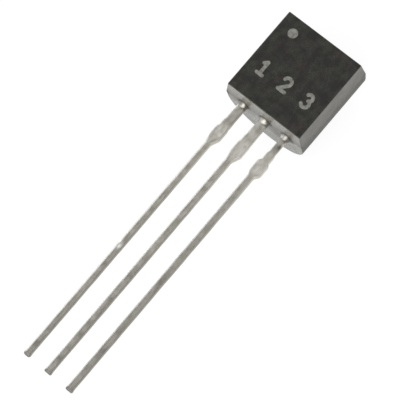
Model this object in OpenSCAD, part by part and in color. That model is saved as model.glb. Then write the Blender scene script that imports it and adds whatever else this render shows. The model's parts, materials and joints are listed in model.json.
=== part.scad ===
// Three-lead transistor in a D-shaped moulded package (TO-92 outline).
// Sizes are in millimetres.
//
// Every piece is drawn upright: X runs across the three leads, Y runs from
// the flat face (y = 0) to the back of the curve, and Z runs up from the
// underside of the body (z = 0), with the leads hanging below it.
// lay_down() then lays the finished part on its curved back, as it comes to
// rest on a table, with the lead tips and the heel of the body touching it.

/* [Moulded body] */
// Width of the body at its parting plane
body_width = 4.48; // [4.4:0.02:4.7]
// Height of the body at its parting plane
body_height = 4.58; // [4.4:0.02:4.8]
// Depth of the body, from the flat face to the back of the curve
body_depth = 3.86; // [3.7:0.02:4]
// Width of the flat face
face_width = 4.2; // [4:0.02:4.36]
// Depth of the parting plane behind the flat face
parting_depth = 1.1; // [1:0.02:1.2]
// Draft of the top and underside in front of the parting plane, in degrees
front_draft = 5; // [3:0.5:8]
// Draft of the top and underside behind the parting plane, in degrees
back_draft = 1; // [0.5:0.5:4]
// Draft of the sides behind the parting plane, in degrees
side_draft = 1.5; // [1:0.5:4]

/* [Leads] */
// Distance from one lead to the next
lead_pitch = 1.27; // [1.25:0.01:1.29]
// Length of the leads below the body
lead_length = 15.03; // [12.7:0.01:17]
// Width of a lead below its tie-bar stub
lead_width = 0.3; // [0.26:0.02:0.32]
// Thickness of the sheet that the lead frame is stamped from
lead_thickness = 0.36; // [0.32:0.02:0.4]
// How far the cropping tool spreads each side of a lead's tip
tip_flare = 0.03; // [0.01:0.01:0.05]
// Length over which a tip spreads
tip_flare_length = 0.25; // [0.15:0.05:0.4]
// Size of the chamfers on the corners of a tip
tip_chamfer = 0.05; // [0.02:0.01:0.1]
// Radius of the bead of solder round each neck where it leaves the body
bead_radius = 0.26; // [0.24:0.01:0.34]

/* [Necks] */
// Left edge of each neck from its lead's centre line, left lead first
neck_left = [0.1, 0.15, 0.08]; // [0.06:0.01:0.2]
// Right edge of each neck from its lead's centre line
neck_right = [0.3, 0.31, 0.2]; // [0.18:0.01:0.32]
// Left edge of each neck's wider end, next to the stub
shoulder_left = [0.15, 0.18, 0.13]; // [0.12:0.01:0.2]
// Right edge of each neck's wider end
shoulder_right = [0.31, 0.32, 0.24]; // [0.22:0.01:0.33]
// Where the necks start to widen below the body
shoulder_top = 1; // [0.8:0.05:1.1]
// Height over which they widen
shoulder_height = 0.1; // [0.05:0.05:0.2]

/* [Tie-bar stubs] */
// Left edge of each stub from its lead's centre line, left lead first
stub_left = [0.22, 0.22, 0.24]; // [0.2:0.01:0.3]
// Right edge of each stub from its lead's centre line
stub_right = [0.34, 0.34, 0.33]; // [0.32:0.01:0.4]
// Top of each stub below the body
stub_top = [1.48, 1.44, 1.56]; // [1.4:0.01:1.6]
// Bottom of each stub below the body
stub_bottom = [2.03, 2.06, 2.2]; // [1.95:0.01:2.25]
// Where each stub has tapered to the lead's own width, below the body
taper_end = [2.42, 2.48, 2.42]; // [2.4:0.01:2.8]
// Radius of the stubs' corners
stub_corner = 0.1; // [0.05:0.01:0.15]

/* [Lead frame inside the body] */
// Width of the post at the head of each outer lead
post_width = 0.9; // [0.8:0.02:0.92]
// Height of the bottom of the posts above the underside
post_bottom = 1; // [0.8:0.05:1.1]
// Height of the top of the posts above the underside
post_top = 2.9; // [2.7:0.05:3.2]
// Width of the pad at the head of the middle lead
pad_width = 1.44; // [1.3:0.02:1.46]
// Height of the bottom of the pad above the underside
pad_bottom = 1.3; // [1.1:0.05:1.4]
// Height of the top of the pad above the underside
pad_top = 3.5; // [3.3:0.05:3.8]
// Size of the chamfers on the corners of the posts and the pad
head_chamfer = 0.15; // [0.05:0.01:0.2]
// Diameter of the holes through which the moulding locks on the frame
lock_hole = 0.32; // [0.2:0.02:0.36]

/* [Chip and wires] */
// Side of the square silicon chip
chip_size = 0.5; // [0.4:0.02:0.6]
// Thickness of the chip
chip_thickness = 0.2; // [0.15:0.01:0.25]
// Thickness of the solder under the chip
chip_solder_thickness = 0.02; // [0.02:0.005:0.04]
// Height of the chip and of the wires above the underside
chip_height = 2.4; // [2.35:0.05:2.5]
// Diameter of the bond wires
wire_diameter = 0.05; // [0.04:0.005:0.06]
// Rise of a wire's loop above the line between its two ends
wire_rise = 0.33; // [0.25:0.01:0.4]

/* [Hidden] */
$fn = 96;

LEFT = 0;
MIDDLE = 1;
RIGHT = 2;

resin_colour = [0.22, 0.22, 0.21];
tin_colour = [0.66, 0.65, 0.62];
silicon_colour = [0.3, 0.32, 0.38];
solder_colour = [0.6, 0.6, 0.62];
gold_colour = [0.83, 0.68, 0.32];

// Overrun of a tool past the solid that it cuts
past = 1;

// The parting plane splits the sheet of the lead frame down its middle
sheet_front = parting_depth - lead_thickness / 2;
sheet_back = parting_depth + lead_thickness / 2;

// The drafted sides run on into the curve of the back without a corner
side_lean = tan(side_draft);
curve_radius = (body_width / 2 - (body_depth - parting_depth) * side_lean)
    / (cos(side_draft) - (1 - sin(side_draft)) * side_lean);
curve_centre = body_depth - curve_radius;
curve_start = [
    curve_radius * cos(side_draft),
    curve_centre + curve_radius * sin(side_draft)
];

// How far the top and underside slope in at the face, at the back, and
// just past the back
face_slope = parting_depth * tan(front_draft);
heel_slope = (body_depth - parting_depth) * tan(back_draft);
past_slope = heel_slope + past * tan(back_draft);

// The part lies on the heel of its back and on the back edges of its tips
rest_tilt = atan((body_depth - sheet_back) / (lead_length + heel_slope));
rest_lift = body_depth * cos(rest_tilt) - heel_slope * sin(rest_tilt);
rest_rear = body_depth * sin(rest_tilt) + (body_height - heel_slope) * cos(rest_tilt);
rest_front = sheet_front * sin(rest_tilt) - lead_length * cos(rest_tilt);

// Posts stand outwards of the outer leads, clear of the pad between them
post_inner = lead_pitch - post_width / 3;
post_outer = post_inner + post_width;

// The wires run from the chip's bond pads to the posts
chip_front = sheet_front - chip_solder_thickness - chip_thickness;
bond_ball_radius = 1.6 * wire_diameter;
bond_ball_height = 0.6 * wire_diameter;
wire_start = [chip_size / 4, chip_front - bond_ball_height];
wire_end = [post_inner + post_width / 3, sheet_front - bond_ball_height / 2];

// A wire's loop is an arc of a circle through both its ends
wire_chord = norm(wire_end - wire_start);
wire_slope = atan2(wire_end[1] - wire_start[1], wire_end[0] - wire_start[0]);
loop_radius = (pow(wire_chord / 2, 2) + pow(wire_rise, 2)) / (2 * wire_rise);
loop_half_angle = asin(wire_chord / 2 / loop_radius);

// ---- placing ----------------------------------------------------------

// Lay an upright piece on the table, with the origin under the middle of
// the whole part
module lay_down() {
    translate([0, -(rest_rear + rest_front) / 2, rest_lift])
        rotate([rest_tilt - 90, 0, 0])
            children();
}

// Stand a flat outline up in the XZ plane, with its front at depth front
module stand_up(front, thickness) {
    translate([0, front + thickness, 0])
        rotate([90, 0, 0])
            linear_extrude(height = thickness)
                children();
}

// ---- moulded body -----------------------------------------------------

// The body seen from above: sides that widen up to the parting plane and
// narrow again behind it, then the curve
module plan_outline() {
    polygon([
        [-face_width / 2, 0],
        [face_width / 2, 0],
        [body_width / 2, parting_depth],
        curve_start,
        [-curve_start[0], curve_start[1]],
        [-body_width / 2, parting_depth]
    ]);
    intersection() {
        translate([0, curve_centre])
            circle(r = curve_radius);
        translate([-body_width, curve_start[1]])
            square([2 * body_width, body_width]);
    }
}

// The body seen from its side, with draft both ways from the parting plane
module side_outline() {
    polygon([
        [0, face_slope],
        [parting_depth, 0],
        [body_depth + past, past_slope],
        [body_depth + past, body_height - past_slope],
        [parting_depth, body_height],
        [0, body_height - face_slope]
    ]);
}

// The outside of the body, with nothing taken out of it
module body_envelope() {
    intersection() {
        linear_extrude(height = body_height)
            plan_outline();
        translate([-body_width, 0, 0])
            rotate([90, 0, 90])
                linear_extrude(height = 2 * body_width)
                    side_outline();
    }
}

module moulded_body() {
    color(resin_colour)
        lay_down()
            difference() {
                body_envelope();
                for (which = [LEFT, MIDDLE, RIGHT])
                    stamped_lead(which);
                chip_solid();
                chip_solder_solid();
                bond_wire_solid(-1);
                bond_wire_solid(1);
            }
}

// ---- leads ------------------------------------------------------------

// A rectangle from corner low to corner high with rounded corners
module rounded_box(low, high, radius) {
    translate([low[0] + radius, low[1]])
        square([high[0] - low[0] - 2 * radius, high[1] - low[1]]);
    translate([low[0], low[1] + radius])
        square([high[0] - low[0], high[1] - low[1] - 2 * radius]);
    for (x = [low[0] + radius, high[0] - radius])
        for (z = [low[1] + radius, high[1] - radius])
            translate([x, z])
                circle(r = radius);
}

// A rectangle from corner low to corner high with chamfered corners
module chamfered_box(low, high, chamfer) {
    polygon([
        [low[0] + chamfer, low[1]],
        [high[0] - chamfer, low[1]],
        [high[0], low[1] + chamfer],
        [high[0], high[1] - chamfer],
        [high[0] - chamfer, high[1]],
        [low[0] + chamfer, high[1]],
        [low[0], high[1] - chamfer],
        [low[0], low[1] + chamfer]
    ]);
}

// The long stretch of a lead that goes through the circuit board, spread
// a little at its tip
module blade_outline() {
    half = lead_width / 2;
    tip = half + tip_flare;
    polygon([
        [-tip + tip_chamfer, -lead_length],
        [tip - tip_chamfer, -lead_length],
        [tip, -lead_length + tip_chamfer],
        [half, -lead_length + tip_flare_length],
        [half, -stub_bottom[MIDDLE]],
        [-half, -stub_bottom[MIDDLE]],
        [-half, -lead_length + tip_flare_length],
        [-tip, -lead_length + tip_chamfer]
    ]);
}

// What is left of the bar that tied the leads together: a wide stub that
// tapers down to the blade
module stub_outline(which) {
    half = lead_width / 2;
    left = -stub_left[which];
    right = stub_right[which];
    low = -stub_bottom[which];
    rounded_box([left, low], [right, -stub_top[which]], stub_corner);
    polygon([
        [left + stub_corner / 4, low + stub_corner / 2],
        [-half, -taper_end[which]],
        [half, -taper_end[which]],
        [right - stub_corner / 4, low + stub_corner / 2]
    ]);
}

// The neck between the stub and the head, part outside the body and part
// inside it. It widens towards the stub
module neck_outline(which, top) {
    stub_middle = (stub_top[which] + stub_bottom[which]) / 2;
    shoulder_bottom = shoulder_top + shoulder_height;
    polygon([
        [-shoulder_left[which], -stub_middle],
        [shoulder_right[which], -stub_middle],
        [shoulder_right[which], -shoulder_bottom],
        [neck_right[which], -shoulder_top],
        [neck_right[which], top],
        [-neck_left[which], top],
        [-neck_left[which], -shoulder_top],
        [-shoulder_left[which], -shoulder_bottom]
    ]);
}

// The head of an outer lead: a post for the bond wire, with a lock hole.
// side is -1 on the left and 1 on the right
module post_outline(side) {
    inner = side * (post_inner - lead_pitch);
    outer = side * (post_outer - lead_pitch);
    difference() {
        chamfered_box(
            [min(inner, outer), post_bottom],
            [max(inner, outer), post_top],
            head_chamfer
        );
        translate([(inner + outer) / 2, post_bottom + post_width / 2])
            circle(d = lock_hole);
    }
}

// The head of the middle lead: the pad that carries the chip
module pad_outline() {
    difference() {
        chamfered_box(
            [-pad_width / 2, pad_bottom],
            [pad_width / 2, pad_top],
            head_chamfer
        );
        translate([0, pad_bottom + lock_hole])
            circle(d = lock_hole);
    }
}

// One whole lead as it is stamped from the sheet
module stamped_lead(which) {
    side = which - MIDDLE;
    translate([side * lead_pitch, 0, 0])
        stand_up(sheet_front, lead_thickness) {
            blade_outline();
            stub_outline(which);
            if (which == MIDDLE) {
                neck_outline(which, pad_bottom + head_chamfer);
                pad_outline();
            } else {
                neck_outline(which, post_bottom + head_chamfer);
                post_outline(side);
            }
        }
}

// The bead of solder that tinning leaves round a neck, against the body
module solder_bead(which) {
    centre = (neck_right[which] - neck_left[which]) / 2;
    difference() {
        translate([(which - MIDDLE) * lead_pitch + centre, parting_depth, 0])
            sphere(r = bead_radius);
        body_envelope();
    }
}

module tinned_lead(which) {
    color(tin_colour)
        lay_down() {
            stamped_lead(which);
            solder_bead(which);
        }
}

module lead_left() {
    tinned_lead(LEFT);
}

module lead_middle() {
    tinned_lead(MIDDLE);
}

module lead_right() {
    tinned_lead(RIGHT);
}

// ---- chip and wires ---------------------------------------------------

// A square plate on the front of the pad
module chip_plate(front, thickness) {
    translate([-chip_size / 2, front, chip_height - chip_size / 2])
        cube([chip_size, thickness, chip_size]);
}

module chip_solid() {
    chip_plate(chip_front, chip_thickness);
}

module chip_solder_solid() {
    chip_plate(sheet_front - chip_solder_thickness, chip_solder_thickness);
}

module silicon_chip() {
    color(silicon_colour)
        lay_down()
            chip_solid();
}

module chip_solder() {
    color(solder_colour)
        lay_down()
            chip_solder_solid();
}

// A gold wire with its ball on the chip, its loop, and its foot on the
// post. side is -1 on the left and 1 on the right
module bond_wire_solid(side) {
    middle = (wire_start + wire_end) / 2;
    drop = loop_radius - wire_rise;
    mirror([side < 0 ? 1 : 0, 0, 0])
        translate([0, 0, chip_height]) {
            translate([wire_start[0], chip_front, 0])
                rotate([90, 0, 0])
                    cylinder(r = bond_ball_radius, h = 2 * bond_ball_height);
            translate([
                middle[0] - drop * sin(wire_slope),
                middle[1] + drop * cos(wire_slope),
                0
            ])
                rotate([0, 0, wire_slope - 90 - loop_half_angle])
                    rotate_extrude(angle = 2 * loop_half_angle)
                        translate([loop_radius, 0])
                            circle(d = wire_diameter);
            translate([wire_end[0], sheet_front, 0])
                rotate([90, 0, 0])
                    cylinder(r = bond_ball_radius, h = bond_ball_height);
        }
}

module bond_wire_left() {
    color(gold_colour)
        lay_down()
            bond_wire_solid(-1);
}

module bond_wire_right() {
    color(gold_colour)
        lay_down()
            bond_wire_solid(1);
}

moulded_body();
lead_left();
lead_middle();
lead_right();
silicon_chip();
chip_solder();
bond_wire_left();
bond_wire_right();
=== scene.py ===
"""The looks of a three-lead transistor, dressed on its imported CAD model.

The skins are drawn upright in millimetres, as the part's source draws them: X across the leads, Y from
the flat face to the back, Z up from the underside of the body. LAID_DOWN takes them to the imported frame.
"""
import json
import math

import bmesh
import bpy
from mathutils import Matrix, Vector, noise


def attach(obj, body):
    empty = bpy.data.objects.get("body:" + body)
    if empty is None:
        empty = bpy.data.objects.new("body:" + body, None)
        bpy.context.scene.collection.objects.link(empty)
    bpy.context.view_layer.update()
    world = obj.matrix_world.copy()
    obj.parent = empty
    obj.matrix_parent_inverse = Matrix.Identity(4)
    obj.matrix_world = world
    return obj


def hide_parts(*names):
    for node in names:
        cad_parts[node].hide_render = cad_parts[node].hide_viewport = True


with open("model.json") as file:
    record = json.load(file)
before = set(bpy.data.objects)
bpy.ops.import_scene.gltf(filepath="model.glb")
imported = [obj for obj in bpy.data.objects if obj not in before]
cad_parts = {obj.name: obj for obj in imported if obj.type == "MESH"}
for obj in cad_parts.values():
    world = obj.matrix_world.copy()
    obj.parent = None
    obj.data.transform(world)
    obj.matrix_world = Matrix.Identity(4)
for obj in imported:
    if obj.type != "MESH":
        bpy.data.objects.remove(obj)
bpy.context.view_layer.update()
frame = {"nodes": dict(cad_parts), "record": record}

MILLIMETRE = 0.001

# In millimetres: points closer than WELD are one, edges shorter than SLIVER are dissolved, and a point
# less than ON_PLANE from a plane lies on it
WELD = 1e-4
SLIVER = 1e-5
ON_PLANE = 1e-3

# How much the larger faces count in the shading, where 50 is even and 100 is the most
LARGE_FACES_FIRST = 100

# The moulded body, as in the part's source
BODY_WIDTH = 4.48
BODY_HEIGHT = 4.58
BODY_DEPTH = 3.86
FACE_WIDTH = 4.2
PARTING_DEPTH = 1.1
FRONT_DRAFT = math.radians(5)
BACK_DRAFT = math.radians(1)
SIDE_DRAFT = math.radians(1.5)

# What the moulding holds besides the leads. The room for each one is run back by ROOM_OVERLAP, at the
# points whose normals are that far to the back
INNER_NODES = ("chip_solder", "silicon_chip", "bond_wire_left", "bond_wire_right")
ROOM_OVERLAP = 0.01
MOSTLY_BACK = 0.5

# The leads, as in the part's source. Where three values are given, the left lead comes first
LEAD_NODES = ("lead_left", "lead_middle", "lead_right")
LEAD_PITCH = 1.27
LEAD_PLACES = (-LEAD_PITCH, 0, LEAD_PITCH)
LEAD_LENGTH = 15.03
LEAD_WIDTH = 0.3
LEAD_THICKNESS = 0.36
LEAD_FRONT = PARTING_DEPTH - LEAD_THICKNESS / 2
TIP_FLARE = 0.03
TIP_FLARE_LENGTH = 0.25
BEAD_RADIUS = 0.26
NECK_OFFSET = 0.08
NECK_LEFT = (0.1, 0.15, 0.08)
NECK_RIGHT = (0.3, 0.31, 0.2)
SHOULDER_LEFT = (0.15, 0.18, 0.13)
SHOULDER_RIGHT = (0.31, 0.32, 0.24)
SHOULDER_TOP = 1
SHOULDER_HEIGHT = 0.1
STUB_LEFT = (0.22, 0.22, 0.24)
STUB_RIGHT = (0.34, 0.34, 0.33)
STUB_TOP = (1.48, 1.44, 1.56)
STUB_BOTTOM = (2.03, 2.06, 2.2)
TAPER_END = (2.42, 2.48, 2.42)

# Finish of the body's edges. Edges sharper than the angle, in degrees, aren't smoothed
EDGE_RADIUS = 0.045
EDGE_SEGMENTS = 4
CORNER_RADIUS = 0.05
CORNER_SEGMENTS = 5
CURVE_SEGMENTS = 72
FLASH_HEIGHT = 0.005
FLASH_WIDTH = 0.15
BODY_SHARP = 35

# The corners of the leads' sections: at the back, at the front left on the necks and on the blades, and
# at the front right. Edges sharper than the angle, in degrees, aren't smoothed
BACK_RADIUS = 0.1
NECK_RADIUS = 0.1
LEFT_RADIUS = (0.17, 0.12, 0.12)
RIGHT_RADIUS = 0.06
ROUND_SEGMENTS = 5
FLAT_SEGMENTS = 4
LEAD_SHARP = 40

# The coat of tin, how far it smooths the stamped outline each way, and by how many samples
TINNING = 0.015
OUTLINE_BLUR = 0.06
OUTLINE_TAPS = 7

# The rings that make a lead's skin, on its blade, its bead and its tip
RING_STEP = 0.04
BEAD_STEPS = 24
BEAD_BLEND = 0.03
TIP_ROUND = (0.13, 0.09, 0.09)
TIP_STEPS = 6

# Heights in the body where a skin ends and where the CAD lead takes over from it, and how much slimmer
# the skin is there
SEAT_TOP = 0.6
SEAT_CUT = 0.3
SEAT_SHRINK = 0.01

# How far up in the body the cut for a lead starts, and how far it runs down from there
MOUTH_CUT = 0.03
MOUTH_REACH = 0.3

# Shallow dents along the leads, the step between one lead's dents and the next one's, and the seed that
# makes them the same in every run
DENT_DEPTH = 0.008
DENT_SIZE = 0.5
DENT_SHIFT = 7.3
DENT_SEED = 4

# A blob of solder on the left lead: its place, its reach along the lead, and how far it stands out
BLOB_LEAD = 0
BLOB_PLACE = Vector((LEAD_PLACES[BLOB_LEAD] - 0.11, LEAD_FRONT, -8.55))
BLOB_REACH = 0.17
BLOB_HEIGHT = 0.04

# The moulding's colours: dark and pale patches, each green and red, then the painted light that makes the
# sides paler, the same on the ends from its faint patches to its strong ones, and the specks on both
MOULDING_DARK = ((0.003, 0.005, 0.003), (0.006, 0.003, 0.003))
MOULDING_PALE = ((0.024, 0.029, 0.021), (0.03, 0.024, 0.021))
SIDE_PAINTED_LIGHT = (0.067, 0.061, 0.046)
END_PAINTED_LIGHT = ((0.104, 0.098, 0.082), (0.37, 0.35, 0.3))
SPECK = (0.06, 0.058, 0.05)

# The painted light fades between these depths behind the face, to this share
PAINTED_LIGHT_DEPTHS = (0.1, 0.9)
PAINTED_LIGHT_LEFT = 0.15

# The parts of a normal over which the looks of the face give way to those of the sides, and those to the
# ends': its part along Y, then along Z
OFF_FACE = (-0.9, -0.6)
ON_END = (0.5, 0.8)

# The moulding's roughness: the face, the sides, the ends, their fine mottle, and what is added behind the
# parting plane, along a band there, and round each lead
FACE_ROUGHNESS = (0.22, 0.3)
SIDE_ROUGHNESS = (0.3, 0.46)
END_ROUGHNESS = (0.14, 0.4)
END_MOTTLE = (-0.03, 0.04)
BEHIND_ROUGHER = 0.3
BEHIND_DEPTHS = (PARTING_DEPTH - 0.1, PARTING_DEPTH + 0.1)
BAND_ROUGHER = 0.055
BAND_DEPTH = PARTING_DEPTH + 0.15
BAND_REACH = 0.8
HALO_ROUGHER = 0.5
HALO_MIDDLE = (0.02, 0, 0)
HALO_REACH = 0.5

# The moulding and the ink on it reflect alike
EPOXY_IOR = 1.7

# Heights of the fine bumps of the moulding, the tin and the ink, in metres
EPOXY_BUMP = 1e-5
TIN_BUMP = 3e-6
INK_BUMP = 4e-6

# Dull spots on the body's underside: each one's place, reach, and how much rougher it is
SCUFFS = (
    ((0.64, PARTING_DEPTH + 0.65, 0), 0.75, 0.2),
    ((-1.75, PARTING_DEPTH + 0.15, 0), 0.6, 0.07),
)

# The tin's colours, each from its dull patches to its bright ones: the blades near the body, the left and
# the right half of their far ends, which painted shade makes darker, the most on the right half, the
# stubs, the necks, and the tint of some patches, then the streaks
NEAR_TIN = ((0.44, 0.425, 0.375), (0.64, 0.62, 0.565))
FAR_LEFT_SHADED_TIN = ((0.38, 0.367, 0.328), (0.61, 0.59, 0.54))
FAR_RIGHT_SHADED_TIN = ((0.22, 0.212, 0.19), (0.36, 0.348, 0.318))
STUB_TIN = ((0.64, 0.62, 0.56), (0.92, 0.9, 0.84))
NECK_TIN = ((0.5, 0.48, 0.43), (0.74, 0.72, 0.66))
TINTED_TIN = ((0.56, 0.56, 0.43), (0.58, 0.53, 0.5))
STREAK = (0.4, 0.385, 0.345)

# The painted highlight on the corner at the front left and the painted shade on the sheared blade, each
# near the body and far from it, the dull flat left side, and the lighter painted shade on the sheared
# stubs and necks
CORNER_HIGHLIGHT = ((0.83, 0.82, 0.775), (0.92, 0.91, 0.87))
SHEARED_BLADE_SHADE = ((0.44, 0.425, 0.38), (0.35, 0.337, 0.302))
LEFT_SIDE = (0.5, 0.49, 0.455)
SHEARED_STUB_SHADE = (0.66, 0.64, 0.58)
SHEARED_NECK_SHADE = (0.6, 0.58, 0.52)

# The cropped tips, the blob of solder with a painted highlight in its colour, and the painted shade round
# the beads
CROPPED = (0.27, 0.255, 0.25)
BLOB_SOLDER_HIGHLIGHT = (0.86, 0.85, 0.81)
BEAD_RIM_SHADE = (0.18, 0.17, 0.145)

# Heights on the leads over which one look gives way to the next, from the lower to the upper
CROP_HEIGHTS = (-LEAD_LENGTH + 0.04, -LEAD_LENGTH + 0.2)
FAR_HEIGHTS = (-13, -3)
SHEARED_HEIGHTS = (-5.5, -1.8)
DULLER_HEIGHTS = (-2.8, -2.2)
STUB_HEIGHTS = (-2.5, -1.9)
NECK_HEIGHTS = (-1.5, -1.1)
BEAD_HEIGHTS = (-0.34, -0.28)
RIM_SHADE_HEIGHTS = (-0.3, -0.2)

# The parts of a normal over which the looks of the leads' fronts give way to those of the left corners
# and of the right edges, both along X, and the corners' to those of the flat left sides, along Y
LEFT_CORNER = (-0.25, -0.75)
RIGHT_EDGE = (0.3, 0.6)
LEFT_FLAT = (-0.32, -0.2)

# How far across from the middle of a neck the right half of a blade starts, where the painted shade is
# darkest
RIGHT_HALF = (-NECK_OFFSET - 0.1, -NECK_OFFSET + 0.12)

# The painted shade round each bead stays clear of its middle, and half clear of its left, by places from
# the neck's middle
BEAD_MIDDLE = (0, BEAD_RADIUS, -0.12)
BEAD_CLEAR = 0.22
BEAD_LEFT = (-0.15, 0.05)
BEAD_LEFT_CLEAR = 0.5

# The roughness of the tin on the blades, of that on the stubs and necks, of solder and of bare metal
BLADE_ROUGHNESS = (0.42, 0.52)
STUB_ROUGHNESS = (0.5, 0.6)
SOLDER_ROUGHNESS = 0.43
BARE_ROUGHNESS = 0.55

# How far the right lead's blade is made darker, towards the colour of the dark spots. It is told from the
# others by its place across
DULLER_SHARE = 0.12
DULLER_PLACES = (0.6, 0.7)

# Spots on the leads: the lead's number from the left, how far across from its middle, how far behind the
# flat face, the height, the reach, the strength and the colour. The pale spots are painted highlights, and
# the dark ones are partly stains and partly painted shade
STAIN_AND_SHADE = (0.12, 0.11, 0.095)
PAINTED_GLINT = (1.0, 0.99, 0.95)
LIGHT_SHADE_AND_STAIN_SPOTS = (
    (0, -0.1, LEAD_FRONT, -0.08, 0.2, 0.8, STAIN_AND_SHADE),
    (0, 0.17, LEAD_FRONT, -1.8, 0.16, 0.75, PAINTED_GLINT),
    (0, 0.08, LEAD_FRONT, -0.8, 0.7, 0.3, STAIN_AND_SHADE),
    (0, -0.12, LEAD_FRONT, -1.8, 0.45, 0.25, STAIN_AND_SHADE),
    (0, -0.08, LEAD_FRONT, -0.3, 0.2, 0.8, PAINTED_GLINT),
    (1, 0.2, LEAD_FRONT, -1.54, 0.1, 0.4, STAIN_AND_SHADE),
    (1, 0, PARTING_DEPTH - 0.21, -0.14, 0.16, 0.4, PAINTED_GLINT),
    (1, 0.27, LEAD_FRONT, -0.1, 0.25, 0.14, PAINTED_GLINT),
    (1, 0.13, LEAD_FRONT, -1.75, 0.6, 0.25, PAINTED_GLINT),
    (1, 0.08, LEAD_FRONT, -0.85, 0.5, 0.13, PAINTED_GLINT),
    (1, -0.2, LEAD_FRONT, -1.75, 0.35, 0.18, STAIN_AND_SHADE),
    (1, -0.04, PARTING_DEPTH - 0.22, -0.08, 0.2, 0.7, PAINTED_GLINT),
    (1, 0.2, PARTING_DEPTH - 0.2, -0.08, 0.16, 0.4, STAIN_AND_SHADE),
    (1, -0.12, LEAD_FRONT, -0.34, 0.22, 0.7, PAINTED_GLINT),
    (2, 0.2, LEAD_FRONT, -0.6, 0.16, 1.0, STAIN_AND_SHADE),
    (2, 0.05, LEAD_FRONT, -0.1, 0.3, 0.5, STAIN_AND_SHADE),
    (2, 0.1, LEAD_FRONT, -0.85, 0.5, 0.12, STAIN_AND_SHADE),
    (2, 0.12, LEAD_FRONT, -1.85, 0.4, 0.25, PAINTED_GLINT),
    (2, 0.25, PARTING_DEPTH - 0.1, -0.75, 0.35, 0.6, STAIN_AND_SHADE),
    (2, -0.2, LEAD_FRONT, -1.85, 0.35, 0.18, STAIN_AND_SHADE),
    (2, -0.05, PARTING_DEPTH - 0.21, -0.1, 0.16, 0.8, PAINTED_GLINT),
    (2, 0.24, LEAD_FRONT, -0.2, 0.18, 0.8, STAIN_AND_SHADE),
    (2, -0.1, LEAD_FRONT, -0.35, 0.25, 0.3, PAINTED_GLINT),
)

# The printed marks: plain pin numbers over the leads and a dot in the corner. The ink runs from its worn
# patches to its pale ones
INK_WIDTH = 0.17
INK_THICKNESS = 0.012
NUMERAL_WIDTH = 0.38
NUMERAL_HEIGHT = 0.67
MARK_BOTTOM = 1.25
ARC_SEGMENTS = 24
CAP_SEGMENTS = 8
DOT_RADIUS = 0.24
DOT_PLACE = (-1.3, 3.75)
INK_TONES = ((0.16, 0.16, 0.138), (0.39, 0.387, 0.34))
INK_ROUGHNESS = (0.26, 0.34)

# The numerals' forms, in shares of their width and height: the start of the 1's flag, how far its foot
# stays clear of the sides, the radii of the 3's two bowls and their place across. Then the turn of the
# 2's bowl and that of the 3's upper one, in degrees
FLAG_START = (0.1, 0.8)
FOOT_CLEAR = 0.08
UPPER_BOWL = 0.24
LOWER_BOWL = 0.28
BOWLS_ACROSS = 0.46
TWO_TURN = (165, -35)
THREE_TURN = (150, -75)

# The hidden pieces, from their dull patches to their bright ones, and how much a metal's roughness varies
GOLD = ((0.78, 0.55, 0.2), (0.9, 0.68, 0.3))
GOLD_ROUGHNESS = 0.22
CHIP_SOLDER = ((0.45, 0.45, 0.46), (0.6, 0.6, 0.61))
CHIP_SOLDER_ROUGHNESS = 0.35
SILICON = ((0.16, 0.18, 0.24), (0.24, 0.26, 0.33))
SILICON_ROUGHNESS = (0.12, 0.2)
UNEVENNESS = 0.05

# The camera looks at the flat face from a little to its right and towards the leads, and is rolled. Its
# angles, distance and aim are in the upright frame
CAMERA_AZIMUTH = math.radians(14.583)
CAMERA_ELEVATION = math.radians(7.814)
CAMERA_ROLL = math.radians(40.525)
CAMERA_DISTANCE = 95.72
CAMERA_AIM = Vector((0.1454, 1.2, -4.6728))
CAMERA_LENS = 191.2
SENSOR_WIDTH = 36
CLIP_START = 0.001
CLIP_END = 20

# The studio. The camera sees the floor and its wall glow by FLOOR_GLOW, with FLOOR_SHARE of their white
# left to take a shadow
FLOOR_RADIUS = 0.4
FLOOR_WHITE = 0.8
FLOOR_SHARE = 0.25
FLOOR_GLOW = 0.9
WALL_HEIGHT = 0.15
WALL_SEGMENTS = 64
SKY_LIGHT = 0.36

# The lamps' azimuth and elevation in degrees (azimuth 0 on the leads' side, 90 on the right), distance,
# size and brightness. They shine at the middle of the part
MIDDLE = Vector((0, 0, 0.002))
LAMPS = {
    "overhead": (10, 52, 0.25, 0.18, 2.8),
    "side": (-110, 25, 0.2, 0.1, 2.0),
}


# ---- placing ----------------------------------------------------------------

def laid_down():
    """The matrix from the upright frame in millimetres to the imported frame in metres."""
    face = next(m for m in frame["record"]["mounts"] if m["name"] == "flat_face")
    across = Vector((1, 0, 0))
    inwards = -Vector(face["axis"]).normalized()
    upwards = across.cross(inwards)
    origin = Vector(face["pos_m"]) - upwards * (BODY_HEIGHT / 2 * MILLIMETRE)
    turn = Matrix((across, inwards, upwards)).transposed().to_4x4()
    return Matrix.Translation(origin) @ turn @ Matrix.Scale(MILLIMETRE, 4)


LAID_DOWN = laid_down()
UPRIGHT = LAID_DOWN.inverted()


def new_object(name, data):
    """A new object of the scene with that mesh, light or camera."""
    piece = bpy.data.objects.new(name, data)
    bpy.context.scene.collection.objects.link(piece)
    return piece


def object_of(name, bm):
    """A new object made from a bmesh, which is freed."""
    mesh = bpy.data.meshes.new(name)
    bm.normal_update()
    bm.to_mesh(mesh)
    bm.free()
    return new_object(name, mesh)


def upright_bmesh(node):
    """An upright bmesh of a CAD node with its faces joined up."""
    bm = bmesh.new()
    bm.from_mesh(frame["nodes"][node].data)
    bm.transform(UPRIGHT)
    bmesh.ops.remove_doubles(bm, verts=bm.verts, dist=WELD)
    bmesh.ops.recalc_face_normals(bm, faces=bm.faces)
    return bm


def settle(piece):
    """Apply a piece's modifiers."""
    graph = bpy.context.evaluated_depsgraph_get()
    mesh = bpy.data.meshes.new_from_object(piece.evaluated_get(graph))
    piece.modifiers.clear()
    old = piece.data
    piece.data = mesh
    bpy.data.meshes.remove(old)


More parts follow.
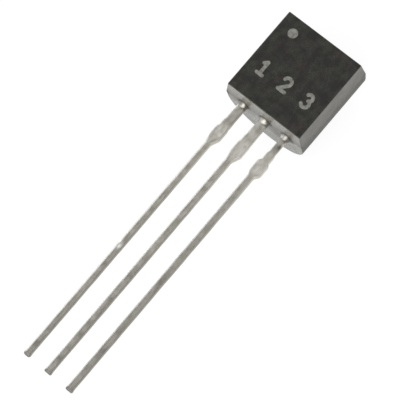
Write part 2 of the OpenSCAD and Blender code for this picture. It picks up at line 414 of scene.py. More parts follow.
def combine(piece, tools, operation):
    """Cut the tools out of a piece or join them to it, and clear up slivers. The tools are used up."""
    for tool in tools:
        modifier = piece.modifiers.new("combine", "BOOLEAN")
        modifier.operation = operation
        modifier.solver = "MANIFOLD"
        modifier.object = tool
        settle(piece)
        bpy.data.objects.remove(tool)
    bm = bmesh.new()
    bm.from_mesh(piece.data)
    bmesh.ops.dissolve_degenerate(bm, dist=SLIVER, edges=bm.edges)
    bm.to_mesh(piece.data)
    bm.free()


def shade(piece, sharp_angle):
    """Smooth a piece's faces up to an angle in degrees and keep its large flats flat."""
    mesh = piece.data
    mesh.polygons.foreach_set("use_smooth", [True] * len(mesh.polygons))
    mesh.set_sharp_from_angle(angle=math.radians(sharp_angle))
    modifier = piece.modifiers.new("weigh", "WEIGHTED_NORMAL")
    modifier.mode = "FACE_AREA_WITH_ANGLE"
    modifier.weight = LARGE_FACES_FIRST
    modifier.keep_sharp = True
    settle(piece)


def dress(piece, material, slot, *nodes):
    """Lay an upright piece down, give it its material, and let it ride and stand for its nodes."""
    piece.data.transform(LAID_DOWN)
    piece.data.materials.clear()
    piece.data.materials.append(material)
    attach(piece, "root")
    if nodes:
        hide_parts(*nodes)


# ---- points and rings -------------------------------------------------------

def between(value, start, end, first, last):
    """The value from first to last that lies as far along as value does from start to end."""
    share = min(max((value - start) / (end - start), 0), 1)
    return first + (last - first) * share


def around(centre, radius, start, end, segments):
    """Points along an arc, each with the way out of it there."""
    angles = [between(step, 0, segments, start, end) for step in range(segments + 1)]
    ways = [Vector((math.cos(angle), math.sin(angle))) for angle in angles]
    return [(centre + radius * way, way) for way in ways]


def join_rings(bm, rings):
    """Faces from each ring of points to the next one. Gives the rows of their corners."""
    rows = [[bm.verts.new(p) for p in points] for points in rings]
    count = len(rows[0])
    for lower, upper in zip(rows, rows[1:]):
        for here in range(count):
            after = (here + 1) % count
            bm.faces.new((lower[here], lower[after], upper[after], upper[here]))
    return rows


# ---- the moulded body -------------------------------------------------------

def underside(y):
    """Height of the body's underside at a depth behind the flat face."""
    if y < PARTING_DEPTH:
        return (PARTING_DEPTH - y) * math.tan(FRONT_DRAFT)
    return (y - PARTING_DEPTH) * math.tan(BACK_DRAFT)


def plan_loop():
    """Points round the body seen from above, from the face's right corner, with the way out at each."""
    lean = math.tan(SIDE_DRAFT)
    radius = (BODY_WIDTH / 2 - (BODY_DEPTH - PARTING_DEPTH) * lean) / (
        math.cos(SIDE_DRAFT) - (1 - math.sin(SIDE_DRAFT)) * lean
    )
    splay = math.atan((BODY_WIDTH - FACE_WIDTH) / 2 / PARTING_DEPTH)
    inwards = CORNER_RADIUS * (1 - math.sin(splay)) / math.cos(splay)
    corner = Vector((FACE_WIDTH / 2 - inwards, CORNER_RADIUS))
    front = around(corner, CORNER_RADIUS, -math.pi / 2, -splay, CORNER_SEGMENTS)
    front.append((Vector((BODY_WIDTH / 2, PARTING_DEPTH)), Vector((1, 0))))
    middle = Vector((0, BODY_DEPTH - radius))
    back = around(middle, radius, SIDE_DRAFT, math.pi - SIDE_DRAFT, CURVE_SEGMENTS)
    flip = Vector((-1, 1))
    return front + back + [(point * flip, outwards * flip) for point, outwards in reversed(front)]


def body_ring(inset, lift):
    """The points of a ring round the body, so far in from its sides and above its underside."""
    flat = [point - outwards * inset for point, outwards in plan_loop()]
    return [Vector((point.x, point.y, underside(point.y) + lift)) for point in flat]


def body_form():
    """The body's outside with rounded edges. Each end is two flats that meet at the parting plane."""
    rings = []
    for step in range(EDGE_SEGMENTS + 1):
        angle = math.pi / 2 * step / EDGE_SEGMENTS
        rings.append(body_ring(EDGE_RADIUS * (1 - math.sin(angle)), EDGE_RADIUS * (1 - math.cos(angle))))
    rings += [[Vector((p.x, p.y, BODY_HEIGHT - p.z)) for p in points] for points in reversed(rings)]
    bm = bmesh.new()
    rows = join_rings(bm, rings)
    parting = CORNER_SEGMENTS + 1
    for row in (rows[0], rows[-1]):
        bm.faces.new(row[-parting - 1:] + row[:parting + 1])
        bm.faces.new(row[parting:-parting])
    bmesh.ops.recalc_face_normals(bm, faces=bm.faces)
    return bm


def raise_flash(bm):
    """Raise the fine line that the two halves of the mould leave round the parting plane."""
    for depth in (-FLASH_WIDTH / 2, 0, FLASH_WIDTH / 2):
        bmesh.ops.bisect_plane(
            bm,
            geom=bm.verts[:] + bm.edges[:] + bm.faces[:],
            dist=WELD,
            plane_co=(0, PARTING_DEPTH + depth, 0),
            plane_no=(0, 1, 0),
        )
    bm.normal_update()
    line = [v for v in bm.verts if abs(v.co.y - PARTING_DEPTH) < ON_PLANE]
    for vertex, normal in [(v, v.normal.copy()) for v in line]:
        normal.y = 0
        vertex.co += normal.normalized() * FLASH_HEIGHT


def room(node):
    """The room that the moulding leaves for a small CAD piece, run a little into the piece behind it."""
    bm = upright_bmesh(node)
    bm.normal_update()
    for vertex in bm.verts:
        if vertex.normal.y > MOSTLY_BACK:
            vertex.co.y += ROOM_OVERLAP
    return object_of("room", bm)


def body_skin(material):
    """The moulding with rounded edges, a flash line, and room for all that it holds."""
    bm = body_form()
    raise_flash(bm)
    skin = object_of("body_skin", bm)
    combine(skin, [lead_top(node, MOUTH_CUT, MOUTH_REACH) for node in LEAD_NODES], "DIFFERENCE")
    combine(skin, [room(node) for node in INNER_NODES], "DIFFERENCE")
    shade(skin, BODY_SHARP)
    dress(skin, material, "epoxy", "moulded_body")


# ---- the leads --------------------------------------------------------------

def extent(which, side, depth):
    """How far a lead's outline reaches to one side at a depth below the body. side is -1 or 1."""
    neck = (NECK_LEFT, NECK_RIGHT)[side > 0][which]
    shoulder = (SHOULDER_LEFT, SHOULDER_RIGHT)[side > 0][which]
    stub = (STUB_LEFT, STUB_RIGHT)[side > 0][which]
    blade = LEAD_WIDTH / 2
    if depth < STUB_TOP[which]:
        return between(depth, SHOULDER_TOP, SHOULDER_TOP + SHOULDER_HEIGHT, neck, shoulder)
    if depth < TAPER_END[which]:
        return between(depth, STUB_BOTTOM[which], TAPER_END[which], stub, blade)
    return between(depth, LEAD_LENGTH - TIP_FLARE_LENGTH, LEAD_LENGTH, blade, blade + TIP_FLARE)


def soft_extent(which, side, depth):
    """The outline with its coat of tin, which rounds off the corners."""
    offsets = [OUTLINE_BLUR * (2 * tap / (OUTLINE_TAPS - 1) - 1) for tap in range(OUTLINE_TAPS)]
    reach = sum(extent(which, side, max(depth + offset, 0)) for offset in offsets) / OUTLINE_TAPS
    return reach + TINNING


def section(which, left, right, depth):
    """Points round a lead's section seen from above, with its corners rounded."""
    half = LEAD_THICKNESS / 2
    round_left = between(depth, STUB_BOTTOM[which], TAPER_END[which], NECK_RADIUS, LEFT_RADIUS[which])
    middles = (
        (Vector((right - BACK_RADIUS, half - BACK_RADIUS)), BACK_RADIUS),
        (Vector((left + BACK_RADIUS, half - BACK_RADIUS)), BACK_RADIUS),
        (Vector((left + round_left, round_left - half)), round_left),
        (Vector((right - RIGHT_RADIUS, RIGHT_RADIUS - half)), RIGHT_RADIUS),
    )
    corners = []
    for number, (middle, radius) in enumerate(middles):
        angles = [math.pi / 2 * (number + step / ROUND_SEGMENTS) for step in range(ROUND_SEGMENTS + 1)]
        corners.append([middle + radius * Vector((math.cos(a), math.sin(a))) for a in angles])
    points = []
    for here, after in zip(corners, corners[1:] + corners[:1]):
        points += here
        points += [here[-1].lerp(after[0], step / FLAT_SEGMENTS) for step in range(1, FLAT_SEGMENTS)]
    return points


def ring(which, depth):
    """The points of one ring of a lead's skin, at a depth below the underside of the body."""
    middle = Vector(((NECK_RIGHT[which] - NECK_LEFT[which]) / 2, 0))
    place = Vector((LEAD_PLACES[which], PARTING_DEPTH))
    reach = [soft_extent(which, side, depth) for side in (-1, 1)]
    outline = section(which, -reach[0], reach[1], depth)
    if 0 <= depth < 2 * BEAD_RADIUS:
        bead = math.sqrt(max(BEAD_RADIUS ** 2 - depth ** 2, 0))
        outline = [middle + swollen(point - middle, bead) for point in outline]
    close = between(depth, 0, BEAD_RADIUS, 1, 0) if depth >= 0 else 0
    flat = [point + place for point in outline]
    return [Vector((point.x, point.y, underside(point.y) * close - depth)) for point in flat]


def swollen(away, radius):
    """A point of an outline pushed outwards to where it blends into a bead of that radius."""
    own = away.length
    gap = own - radius
    return away / own * (own + radius + math.sqrt(gap ** 2 + BEAD_BLEND ** 2)) / 2


def shrunk(points, amount):
    """The points of a ring moved towards its middle."""
    middle = sum(points, Vector()) / len(points)
    return [p + (middle - p).normalized() * amount for p in points]


def lead_rings(which):
    """All the rings of a lead's skin, from its tip to its seat inside the body."""
    rings = []
    rounding = TIP_ROUND[which]
    for step in range(TIP_STEPS):
        angle = math.pi / 2 * step / TIP_STEPS
        tip = ring(which, LEAD_LENGTH - rounding * (1 - math.cos(angle)))
        rings.append(shrunk(tip, rounding * (1 - math.sin(angle))))
    steps = round((LEAD_LENGTH - rounding - BEAD_RADIUS) / RING_STEP)
    for step in range(steps):
        rings.append(ring(which, between(step, 0, steps, LEAD_LENGTH - rounding, BEAD_RADIUS)))
    for step in range(BEAD_STEPS + 1):
        rings.append(ring(which, BEAD_RADIUS * math.cos(math.pi / 2 * step / BEAD_STEPS)))
    for height in (SEAT_CUT / 2, SEAT_TOP):
        rings.append(shrunk(ring(which, -height), SEAT_SHRINK))
    return rings


def marked(point, which):
    """Where a point of a lead's skin lies once it has its small dents and its blob of solder."""
    if point.z > -BEAD_RADIUS:
        return point
    spot = point / DENT_SIZE + Vector((DENT_SHIFT * which, 0, 0))
    point = point + noise.noise_vector(spot) * DENT_DEPTH
    if which == BLOB_LEAD:
        away = (point - BLOB_PLACE).length / BLOB_REACH
        outwards = Vector((point.x - LEAD_PLACES[which], point.y - PARTING_DEPTH, 0)).normalized()
        point = point + outwards * BLOB_HEIGHT * math.exp(-away ** 2)
    return point


def lead_top(node, height, reach):
    """The part of a CAD lead above a height in the body, carried straight on below it and closed."""
    bm = upright_bmesh(node)
    cut = bmesh.ops.bisect_plane(
        bm,
        geom=bm.verts[:] + bm.edges[:] + bm.faces[:],
        plane_co=(0, 0, height),
        plane_no=(0, 0, 1),
        clear_inner=True,
    )
    rim = [item for item in cut["geom_cut"] if isinstance(item, bmesh.types.BMEdge)]
    carried = bmesh.ops.extrude_edge_only(bm, edges=rim)["geom"]
    low = [item for item in carried if isinstance(item, bmesh.types.BMVert)]
    bmesh.ops.translate(bm, verts=low, vec=(0, 0, -reach))
    bmesh.ops.contextual_create(bm, geom=[e for e in bm.edges if e.verts[0] in low and e.verts[1] in low])
    bmesh.ops.recalc_face_normals(bm, faces=bm.faces)
    return object_of(node + "_top", bm)


def lead_skin(which, material):
    """One lead with rounded edges and its bead of solder, swept through its rings."""
    node = LEAD_NODES[which]
    bm = bmesh.new()
    rows = join_rings(bm, [[marked(p, which) for p in points] for points in lead_rings(which)])
    bm.faces.new(rows[0][::-1])
    bm.faces.new(rows[-1])
    bmesh.ops.recalc_face_normals(bm, faces=bm.faces)
    skin = object_of(node + "_skin", bm)
    combine(skin, [lead_top(node, SEAT_CUT, SEAT_SHRINK)], "UNION")
    shade(skin, LEAD_SHARP)
    dress(skin, material, "tinned_lead", node)


# ---- the printed marks ------------------------------------------------------

def arc(centre, radius, start, end):
    """Points along an arc, from one angle to another in degrees."""
    degrees = [between(step, 0, ARC_SEGMENTS, start, end) for step in range(ARC_SEGMENTS + 1)]
    angles = [math.radians(degree) for degree in degrees]
    return [(centre[0] + radius * math.cos(a), centre[1] + radius * math.sin(a)) for a in angles]


def numeral_strokes(number):
    """The centre lines of a plain 1, 2 or 3, with the bottom left corner of its box at the origin."""
    width, height = NUMERAL_WIDTH, NUMERAL_HEIGHT
    half = width / 2
    if number == 1:
        return [
            [(width * FLAG_START[0], height * FLAG_START[1]), (half, height)],
            [(half, height), (half, 0)],
            [(width * FOOT_CLEAR, 0), (width * (1 - FOOT_CLEAR), 0)],
        ]
    if number == 2:
        bowl = arc((half, height - half), half, *TWO_TURN)
        return [bowl + [(0, 0)], [(0, 0), (width, 0)]]
    upper, lower = height * UPPER_BOWL, height * LOWER_BOWL
    across = width * BOWLS_ACROSS
    start, end = THREE_TURN
    return [
        arc((across, height - upper), upper, start, end),
        arc((across, lower), lower, -end, -start),
    ]


def printed(outline, name):
    """A thin flat print on the face with that outline, given as points across and up."""
    bm = bmesh.new()
    front = bm.faces.new([bm.verts.new((x, -INK_THICKNESS, z)) for x, z in outline])
    sweep = bmesh.ops.extrude_face_region(bm, geom=[front], use_keep_orig=True)
    moved = [v for v in sweep["geom"] if isinstance(v, bmesh.types.BMVert)]
    bmesh.ops.translate(bm, verts=moved, vec=(0, INK_THICKNESS, 0))
    bmesh.ops.recalc_face_normals(bm, faces=bm.faces)
    return object_of(name, bm)


def half_turn(centre, start):
    """The points of a line's round end, from one of its sides to the other."""
    turns = [Matrix.Rotation(math.pi * step / CAP_SEGMENTS, 2) for step in range(1, CAP_SEGMENTS)]
    return [centre + turn @ start for turn in turns]


def stroke(points):
    """A printed line of even width with round ends."""
    line = [Vector(p) for p in points]
    along = [(b - a).normalized() for a, b in zip(line, line[1:])]
    turns = [along[0]] + [(a + b).normalized() for a, b in zip(along, along[1:])] + [along[-1]]
    sides = [Vector((turn.y, -turn.x)) * INK_WIDTH / 2 for turn in turns]
    outline = [p + side for p, side in zip(line, sides)]
    outline += half_turn(line[-1], sides[-1])
    outline += [p - side for p, side in zip(line[::-1], sides[::-1])]
    outline += half_turn(line[0], -sides[0])
    return printed(outline, "line")


def printed_marks(material):
    """The numbers of the pins over their leads, and a dot in the corner over the first."""
    marks = printed(arc(DOT_PLACE, DOT_RADIUS, 0, 360)[:-1], "printed_marks")
    for which, place in enumerate(LEAD_PLACES):
        corner = Vector((place - NUMERAL_WIDTH / 2, MARK_BOTTOM + INK_WIDTH / 2))
        for points in numeral_strokes(which + 1):
            combine(marks, [stroke([corner + Vector(p) for p in points])], "UNION")
    dress(marks, material, "epoxy")


# ---- materials --------------------------------------------------------------

# The Mix node's data type with the numbers of its two inputs and its output, which share their names
MIX_NUMBERS = ("FLOAT", (2, 3), 0)
MIX_COLOURS = ("RGBA", (6, 7), 2)


class Nodes:
    """A short way to build a material's node tree, with places and directions in the upright frame."""

    def __init__(self, name):
        self.material = bpy.data.materials.new(name)
        self.material.use_nodes = True
        self.tree = self.material.node_tree
        self.shader = self.tree.nodes["Principled BSDF"]
        coordinates = self.add("ShaderNodeTexCoord")
        place = self.add("ShaderNodeMapping")
        place.inputs["Location"].default_value = UPRIGHT.translation
        place.inputs["Rotation"].default_value = UPRIGHT.to_euler()
        place.inputs["Scale"].default_value = UPRIGHT.to_scale()
        self.link(coordinates.outputs["Object"], place.inputs["Vector"])
        self.place = place.outputs["Vector"]
        facing = self.add("ShaderNodeMapping", vector_type="NORMAL")
        facing.inputs["Rotation"].default_value = UPRIGHT.to_euler()
        self.link(coordinates.outputs["Normal"], facing.inputs["Vector"])
        self.facing = facing.outputs["Vector"]

    def add(self, kind, **settings):
        """A new node with those settings."""
        node = self.tree.nodes.new(kind)
        for name, value in settings.items():
            setattr(node, name, value)
        return node

    def link(self, output, socket):
        """Link a node's output to another's input."""
        self.tree.links.new(output, socket)

    def feed(self, value, socket):
        """Link a socket to an input, or set a number or colour on it."""
        if isinstance(value, bpy.types.NodeSocket):
            self.link(value, socket)
        elif isinstance(value, tuple):
            socket.default_value = (*value, 1)
        else:
            socket.default_value = value

    def noise(self, size, detail=3, roughness=0.55, stretch=(1, 1, 1)):
        """Noise from 0 to 1 whose grains are about so many millimetres across."""
        stretched = self.add("ShaderNodeVectorMath", operation="MULTIPLY")
        self.link(self.place, stretched.inputs[0])
        stretched.inputs[1].default_value = stretch
        node = self.add("ShaderNodeTexNoise")
        node.inputs["Scale"].default_value = 1 / size
        node.inputs["Detail"].default_value = detail
        node.inputs["Roughness"].default_value = roughness
        self.link(stretched.outputs[0], node.inputs["Vector"])
        return node.outputs["Fac"]

    def spread(self, value, low, high, over=(0.3, 0.7)):
        """Low at the first value of over, high at its second, even between them and held beyond them."""
        node = self.add("ShaderNodeMapRange")
        self.link(value, node.inputs["Value"])
        node.inputs["From Min"].default_value = over[0]
        node.inputs["From Max"].default_value = over[1]
        node.inputs["To Min"].default_value = low
        node.inputs["To Max"].default_value = high
        return node.outputs["Result"]

    def blend(self, value, first, second):
        """A number or colour between two, each given outright or as a socket."""
        ends = (first, second)
        colours = any(isinstance(end, tuple) or getattr(end, "type", "") == "RGBA" for end in ends)
        kind, inputs, output = MIX_COLOURS if colours else MIX_NUMBERS
        node = self.add("ShaderNodeMix", data_type=kind)
        self.link(value, node.inputs["Factor"])
        for end, number in zip(ends, inputs):
            self.feed(end, node.inputs[number])
        return node.outputs[output]

    def math(self, operation, first, second=0.0):
        """Arithmetic on one or two numbers."""
        node = self.add("ShaderNodeMath", operation=operation)
        self.feed(first, node.inputs[0])
        self.feed(second, node.inputs[1])
        return node.outputs[0]

    def part(self, vector, axis):
        """One of a vector's three numbers."""
        node = self.add("ShaderNodeSeparateXYZ")
        self.link(vector, node.inputs[0])
        return node.outputs[axis]

    def near(self, spot, reach, vector=None):
        """1 at a spot, falling to 0 at that reach from it."""
        node = self.add("ShaderNodeVectorMath", operation="DISTANCE")
        self.link(vector or self.place, node.inputs[0])
        node.inputs[1].default_value = spot
        return self.spread(node.outputs["Value"], 1, 0, over=(0, reach))

    def from_neck(self):
        """Places counted from the middle of the nearest lead's neck, the same in front of and behind it.

        MODULO needs numbers above 0, hence 4 pitches. The half one puts its steps between the leads.
        """
        x = self.math("ADD", self.part(self.place, "X"), 4.5 * LEAD_PITCH - NECK_OFFSET)
        across = self.math("SUBTRACT", self.math("MODULO", x, LEAD_PITCH), LEAD_PITCH / 2)
        depth = self.math("SUBTRACT", self.part(self.place, "Y"), PARTING_DEPTH)
        node = self.add("ShaderNodeCombineXYZ")
        self.link(across, node.inputs["X"])
        self.link(self.math("ABSOLUTE", depth), node.inputs["Y"])
        self.link(self.part(self.place, "Z"), node.inputs["Z"])
        return node.outputs[0]

    def bump(self, height, distance, under=None):
        """A bump whose height is in metres."""
        node = self.add("ShaderNodeBump")
        node.inputs["Distance"].default_value = distance
        self.link(height, node.inputs["Height"])
        if under:
            self.link(under, node.inputs["Normal"])
        return node.outputs["Normal"]

    def finish(self, colour, roughness, normal=None, **values):
        """Feed the shader, set the rest of its sockets by name, and give the material."""
        self.feed(colour, self.shader.inputs["Base Color"])
        self.feed(roughness, self.shader.inputs["Roughness"])
        if normal:
            self.link(normal, self.shader.inputs["Normal"])
        for name, value in values.items():
            self.feed(value, self.shader.inputs[name.replace("_", " ")])
        return self.material


def moulding_colour(m, grain, cloud, off_face, on_end):
    """Nearly black, and off the face made paler by painted light, the most next to it, and speckled."""
    tint = m.spread(m.noise(size=0.8, detail=2), 0, 1, over=(0.4, 0.6))
    patches = m.spread(cloud, 0, 1, over=(0.41, 0.62))
    black = m.blend(patches, m.blend(tint, *MOULDING_DARK), m.blend(tint, *MOULDING_PALE))
    # Painted light: the sides and ends are made paler, the most next to the face
    painted_light = m.blend(on_end, SIDE_PAINTED_LIGHT, m.blend(m.spread(cloud, 0, 1), *END_PAINTED_LIGHT))
    lit_share = m.math("MULTIPLY", off_face, m.spread(m.part(m.place, "Y"), 1, PAINTED_LIGHT_LEFT, over=PAINTED_LIGHT_DEPTHS))
    specks = m.spread(grain, 0, 0.4, over=(0.5, 0.75))
    return m.blend(off_face, black, m.blend(specks, m.blend(lit_share, black, painted_light), SPECK))


def moulding_roughness(m, grain, cloud, off_face, on_end):
    """A smooth face, and duller sides and ends, the most behind the parting plane and round the leads."""
    y = m.part(m.place, "Y")
    behind = m.spread(y, 0, BEHIND_ROUGHER, over=BEHIND_DEPTHS)
    sides = m.math("ADD", m.spread(cloud, *SIDE_ROUGHNESS), behind)
    mottle = m.spread(m.noise(size=0.22, detail=2), *END_MOTTLE)
    ends = m.math("ADD", m.spread(cloud, *END_ROUGHNESS), mottle)
    for spot, reach, rougher in SCUFFS:
        ends = m.math("ADD", ends, m.spread(m.near(spot, reach), 0, rougher, over=(0, 0.6)))
    off_band = m.math("ABSOLUTE", m.math("SUBTRACT", y, BAND_DEPTH))
    band = m.spread(off_band, BAND_ROUGHER, 0, over=(0, BAND_REACH))
    near_lead = m.near(HALO_MIDDLE, HALO_REACH, m.from_neck())
    halo = m.spread(near_lead, 0, HALO_ROUGHER, over=(0.1, 0.42))
    dull = m.math("ADD", m.math("ADD", m.blend(on_end, sides, ends), band), halo)
    return m.blend(off_face, m.spread(grain, *FACE_ROUGHNESS), dull)


def epoxy():
    """Black moulding compound, smooth on the face and duller elsewhere."""
    m = Nodes("epoxy")
    grain = m.noise(size=0.09, detail=4, roughness=0.7)
    cloud = m.noise(size=0.5, detail=3, roughness=0.65)
    off_face = m.spread(m.part(m.facing, "Y"), 0, 1, over=OFF_FACE)
    on_end = m.spread(m.math("ABSOLUTE", m.part(m.facing, "Z")), 0, 1, over=ON_END)
    return m.finish(
        moulding_colour(m, grain, cloud, off_face, on_end),
        moulding_roughness(m, grain, cloud, off_face, on_end),
        m.bump(grain, EPOXY_BUMP),
        IOR=EPOXY_IOR,
        Specular_Tint=(1.0, 0.985, 0.93),
        Sheen_Weight=0.3,
        Sheen_Roughness=0.5,
        Sheen_Tint=(1.0, 0.98, 0.92),
    )


def tinned_fronts(m, patches, across, far, on_stub, on_neck):
    """The tin on the leads' fronts: dull and bright patches, painted shade towards the tips, a tint on
    some of them, and streaks.
    """
    # Painted shade darkens the blades towards their tips, the most on their right half
    right = m.spread(across, 0, 1, over=RIGHT_HALF)
    blade = [
        m.blend(far, near_body, m.blend(right, far_left, far_right))
        for near_body, far_left, far_right in zip(NEAR_TIN, FAR_LEFT_SHADED_TIN, FAR_RIGHT_SHADED_TIN)
    ]
    wide = m.blend(on_neck, m.blend(patches, *STUB_TIN), m.blend(patches, *NECK_TIN))
    plain = m.blend(on_stub, m.blend(patches, *blade), wide)
    tint = m.spread(m.noise(size=0.6, detail=2), 0, 0.5, over=(0.35, 0.65))
    tinted = m.blend(tint, plain, m.blend(patches, *TINTED_TIN))
    streaks = m.spread(m.noise(size=0.16, detail=2, stretch=(1, 1, 0.2)), 0, 0.35, over=(0.5, 0.75))
    return m.blend(streaks, tinted, STREAK)


def bead_rim_shading(m, from_neck, across, z):
    """Where painted shade darkens each bead's rim, as the dark body it reflects: round each bead, but not
    on its middle, and less on its left.
    """
    middle = m.near(BEAD_MIDDLE, BEAD_CLEAR, from_neck)
    clear = m.math("MAXIMUM", middle, m.spread(across, BEAD_LEFT_CLEAR, 0, over=BEAD_LEFT))
    left_on = m.spread(clear, 1, 0, over=(0.1, 0.5))
    return m.math("MULTIPLY", left_on, m.spread(z, 0, 1, over=RIM_SHADE_HEIGHTS))


def with_spots_and_painted_light(m, colour, z):
    """A colour with the leads' spots of stain, painted shade and painted highlight on it, and darker on
    the right lead's blade.
    """
    for lead, aside, depth, height, reach, strength, tone in LIGHT_SHADE_AND_STAIN_SPOTS:
        spot = m.near((LEAD_PLACES[lead] + aside, depth, height), reach)
        colour = m.blend(m.math("MULTIPLY", spot, strength), colour, tone)
    right_lead = m.spread(m.part(m.place, "X"), 0, DULLER_SHARE, over=DULLER_PLACES)
    duller = m.math("MULTIPLY", right_lead, m.spread(z, 1, 0, over=DULLER_HEIGHTS))
    return m.blend(duller, colour, STAIN_AND_SHADE)


def tin():
    """Dull tin with stains, painted highlights and painted shade, glossier solder, and duller metal where
    the sheet was sheared or cropped.
    """
    m = Nodes("tin")
    z = m.part(m.place, "Z")
    sideways = m.part(m.facing, "X")
    from_neck = m.from_neck()
    across = m.part(from_neck, "X")
    far = m.spread(z, 1, 0, over=FAR_HEIGHTS)
    on_stub = m.spread(z, 0, 1, over=STUB_HEIGHTS)
    on_neck = m.spread(z, 0, 1, over=NECK_HEIGHTS)
    patch = m.noise(size=0.3, detail=3, stretch=(1, 1, 0.6))
    patches = m.spread(patch, 0, 1, over=(0.38, 0.62))
    colour = tinned_fronts(m, patches, across, far, on_stub, on_neck)

    # What faces left has a painted highlight on the corner and is dull on the flat side behind it
    flat_side = m.spread(m.part(m.facing, "Y"), 0, 1, over=LEFT_FLAT)
    left = m.blend(flat_side, m.blend(far, *CORNER_HIGHLIGHT), LEFT_SIDE)
    colour = m.blend(m.spread(sideways, 0, 1, over=LEFT_CORNER), colour, left)

    # What faces right is the sheared edge of the sheet, except on the beads. Its colour is painted shade,
    # darkest on the blades and far from the body
    wide_edge = m.blend(on_neck, SHEARED_STUB_SHADE, SHEARED_NECK_SHADE)
    edge = m.blend(m.spread(z, 0, 1, over=SHEARED_HEIGHTS), m.blend(far, *SHEARED_BLADE_SHADE), wide_edge)
    below_bead = m.spread(z, 1, 0, over=BEAD_HEIGHTS)
    sheared = m.math("MULTIPLY", m.spread(sideways, 0, 1, over=RIGHT_EDGE), below_bead)
    colour = m.blend(sheared, colour, edge)

    # Painted shade on the rim of each bead
    colour = m.blend(bead_rim_shading(m, from_neck, across, z), colour, BEAD_RIM_SHADE)
    # Spots of painted highlight, painted shade and stain
    colour = with_spots_and_painted_light(m, colour, z)
    cropped = m.spread(z, 1, 0, over=CROP_HEIGHTS)
    colour = m.blend(cropped, colour, CROPPED)
    # The blob is solder, its colour raised to a painted highlight
    blob = m.near(BLOB_PLACE, 2 * BLOB_REACH)
    colour = m.blend(m.spread(blob, 0, 1, over=(0.2, 0.6)), colour, BLOB_SOLDER_HIGHLIGHT)

    dull = m.blend(on_stub, m.spread(patch, *BLADE_ROUGHNESS), m.spread(patch, *STUB_ROUGHNESS))
    solder = m.math("MAXIMUM", m.spread(z, 0, 1, over=BEAD_HEIGHTS), blob)
    bare = m.math("MAXIMUM", sheared, cropped)
    rough = m.blend(bare, m.blend(solder, dull, SOLDER_ROUGHNESS), BARE_ROUGHNESS)
    return m.finish(colour, rough, m.bump(patch, TIN_BUMP), Metallic=1.0)


def ink():
    """Pale print, worn thin in patches and as glossy as the face under it."""
    m = Nodes("ink")
    patch = m.noise(size=0.14, detail=4, roughness=0.65)
    colour = m.blend(m.spread(patch, 0, 1, over=(0.35, 0.65)), *INK_TONES)
    return m.finish(colour, m.spread(patch, *INK_ROUGHNESS), m.bump(patch, INK_BUMP), IOR=EPOXY_IOR)


def metal(name, dull, bright, roughness):
    """A plain metal for the small pieces that the moulding hides."""
    m = Nodes(name)
    patch = m.noise(size=0.08, detail=3)
    rough = m.spread(patch, roughness - UNEVENNESS, roughness + UNEVENNESS)
    return m.finish(m.blend(m.spread(patch, 0, 1), dull, bright), rough, Metallic=1.0)


def silicon():
    """Polished silicon."""
    m = Nodes("silicon")
    patch = m.noise(size=0.1, detail=2)
    colour = m.blend(m.spread(patch, 0, 1), *SILICON)
    return m.finish(colour, m.spread(patch, *SILICON_ROUGHNESS), Metallic=0.6)


def dress_inner_nodes():
    """Materials for the CAD nodes that stay, all of them hidden inside the body."""
    gold = metal("gold", *GOLD, GOLD_ROUGHNESS)
    looks = {
        "silicon_chip": silicon(),
        "chip_solder": metal("solder", *CHIP_SOLDER, CHIP_SOLDER_ROUGHNESS),
        "bond_wire_left": gold,
        "bond_wire_right": gold,
    }
    for node, material in looks.items():
        piece = frame["nodes"][node]
        piece.data.materials.clear()
        piece.data.materials.append(material)


# ---- the studio -------------------------------------------------------------

def seen_ray(nodes, links):
    """1 for camera, glossy and transmission rays, else 0."""
    path = nodes.new("ShaderNodeLightPath")
    total = path.outputs["Is Camera Ray"]
    for name in ("Is Glossy Ray", "Is Transmission Ray"):
        most = nodes.new("ShaderNodeMath")
        most.operation = "MAXIMUM"
        links.new(total, most.inputs[0])
        links.new(path.outputs[name], most.inputs[1])
        total = most.outputs[0]
    return total


def diffuse(nodes, white):
    """A matt grey shader."""
    shader = nodes.new("ShaderNodeBsdfDiffuse")
    shader.inputs["Color"].default_value = (white, white, white, 1)
    return shader.outputs[0]


def stage():
    """A pale floor and a wall round it. They light the part, look white and keep a faint shadow."""
    bm = bmesh.new()
    bmesh.ops.create_circle(bm, cap_ends=True, radius=FLOOR_RADIUS, segments=WALL_SEGMENTS)
    wall = bmesh.ops.extrude_edge_only(bm, edges=bm.edges[:])["geom"]
    top = [item for item in wall if isinstance(item, bmesh.types.BMVert)]
    bmesh.ops.translate(bm, verts=top, vec=(0, 0, WALL_HEIGHT))
    piece = object_of("stage", bm)
    material = bpy.data.materials.new("stage")
    material.use_nodes = True
    nodes, links = material.node_tree.nodes, material.node_tree.links
    nodes.clear()
    glow = nodes.new("ShaderNodeEmission")
    glow.inputs["Strength"].default_value = FLOOR_GLOW
    both = nodes.new("ShaderNodeAddShader")
    links.new(diffuse(nodes, FLOOR_WHITE * FLOOR_SHARE), both.inputs[0])
    links.new(glow.outputs[0], both.inputs[1])
    mix = nodes.new("ShaderNodeMixShader")
    links.new(seen_ray(nodes, links), mix.inputs[0])
    links.new(diffuse(nodes, FLOOR_WHITE), mix.inputs[1])
    links.new(both.outputs[0], mix.inputs[2])
    output = nodes.new("ShaderNodeOutputMaterial")
    links.new(mix.outputs[0], output.inputs["Surface"])
    piece.data.materials.append(material)


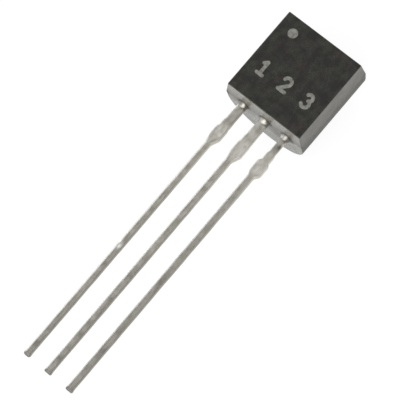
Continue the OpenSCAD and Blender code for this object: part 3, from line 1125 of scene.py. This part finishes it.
def sky():
    """Even light from above."""
    world = bpy.data.worlds.new("sky")
    bpy.context.scene.world = world
    world.use_nodes = True
    light = world.node_tree.nodes["Background"]
    light.inputs["Color"].default_value = (1, 1, 1, 1)
    light.inputs["Strength"].default_value = SKY_LIGHT


def softbox(name, azimuth, elevation, distance, size, brightness):
    """A square soft lamp that shines at the part. The brightness is its surface's, whatever its size."""
    a, e = math.radians(azimuth), math.radians(elevation)
    towards = Vector((math.sin(a) * math.cos(e), -math.cos(a) * math.cos(e), math.sin(e)))
    light = bpy.data.lights.new(name, "AREA")
    light.shape = "SQUARE"
    light.size = size
    light.energy = brightness * math.pi * size ** 2
    lamp = new_object(name, light)
    lamp.location = MIDDLE + towards * distance
    lamp.rotation_euler = towards.to_track_quat("Z", "Y").to_euler()


def camera():
    """The camera at the photograph's angle, with its distance and lens found in the upright frame."""
    a, e, roll = CAMERA_AZIMUTH, CAMERA_ELEVATION, CAMERA_ROLL
    back = Vector((math.sin(a) * math.cos(e), -math.cos(a) * math.cos(e), -math.sin(e)))
    level = Vector((math.cos(a), math.sin(a), 0))
    rise = back.cross(level)
    right = level * math.cos(roll) + rise * math.sin(roll)
    top = rise * math.cos(roll) - level * math.sin(roll)
    data = bpy.data.cameras.new("camera")
    data.sensor_width = SENSOR_WIDTH
    data.lens = CAMERA_LENS
    data.clip_start = CLIP_START
    data.clip_end = CLIP_END
    eye = new_object("camera", data)
    turn = LAID_DOWN.to_3x3() @ Matrix((right, top, back)).transposed()
    eye.rotation_euler = turn.normalized().to_euler()
    eye.location = LAID_DOWN @ (CAMERA_AIM + back * CAMERA_DISTANCE)
    bpy.context.scene.camera = eye


# ---- the scene --------------------------------------------------------------

noise.seed_set(DENT_SEED)
tinned = tin()
body_skin(epoxy())
for number in range(len(LEAD_NODES)):
    lead_skin(number, tinned)
printed_marks(ink())
dress_inner_nodes()

stage()
sky()
for name, settings in LAMPS.items():
    softbox(name, *settings)
camera()
bpy.context.scene.view_settings.view_transform = "Standard"
